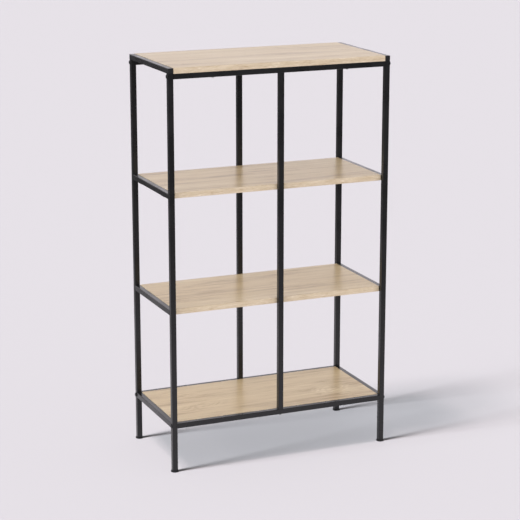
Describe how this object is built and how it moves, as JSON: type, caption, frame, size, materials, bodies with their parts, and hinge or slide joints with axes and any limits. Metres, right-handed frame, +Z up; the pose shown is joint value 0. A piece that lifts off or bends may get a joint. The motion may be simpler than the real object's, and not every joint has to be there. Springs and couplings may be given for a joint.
{
  "type": "pipe shelving unit",
  "caption": "Open shelving unit with a slim black square-tube frame, middle uprights at front and back, and pale oak boards from a low base shelf to the top.",
  "frame": {"origin": "on the floor, under the middle of the unit", "axes": "+Z up, +X to the right along the shelves, +Y to the back"},
  "size_m": [0.667, 0.322, 1.14],
  "materials": {
    "black_steel": "satin black powder coat on square steel tube",
    "black_bolt": "satin black furniture bolt",
    "black_plastic": "fine-grained black moulding",
    "zinc_steel": "bright zinc plate",
    "oak_board": "satin pale oak facing, grain along the width",
    "oak_edge": "satin pale oak edge band"
  },
  "bodies": {
    "root": {"bottom_board": "oak_board", "bottom_edge_band": "oak_edge", "frame_bolt_inserts": "zinc_steel", "frame_bolts": "black_bolt", "front_bottom_rail": "black_steel", "front_middle_upright": "black_steel", "front_top_rail": "black_steel", "left_bottom_side_rail": "black_steel", "left_frame_welds": "black_steel", "left_front_foot": "black_plastic", "left_front_post": "black_steel", "left_lower_shelf_side_rail": "black_steel", "left_rear_foot": "black_plastic", "left_rear_post": "black_steel", "left_shelf_tabs": "black_steel", "left_top_side_rail": "black_steel", "left_upper_shelf_side_rail": "black_steel", "lower_shelf_board": "oak_board", "lower_shelf_edge_band": "oak_edge", "rear_bottom_rail": "black_steel", "rear_middle_upright": "black_steel", "rear_top_rail": "black_steel", "right_bottom_side_rail": "black_steel", "right_frame_welds": "black_steel", "right_front_foot": "black_plastic", "right_front_post": "black_steel", "right_lower_shelf_side_rail": "black_steel", "right_rear_foot": "black_plastic", "right_rear_post": "black_steel", "right_shelf_tabs": "black_steel", "right_top_side_rail": "black_steel", "right_upper_shelf_side_rail": "black_steel", "shelf_screws": "zinc_steel", "top_board": "oak_board", "top_board_screws": "zinc_steel", "top_edge_band": "oak_edge", "top_rail_end_caps": "black_plastic", "upper_shelf_board": "oak_board", "upper_shelf_edge_band": "oak_edge", "upright_bolt_inserts": "zinc_steel", "upright_bolts": "zinc_steel"}
  },
  "joints": []
}
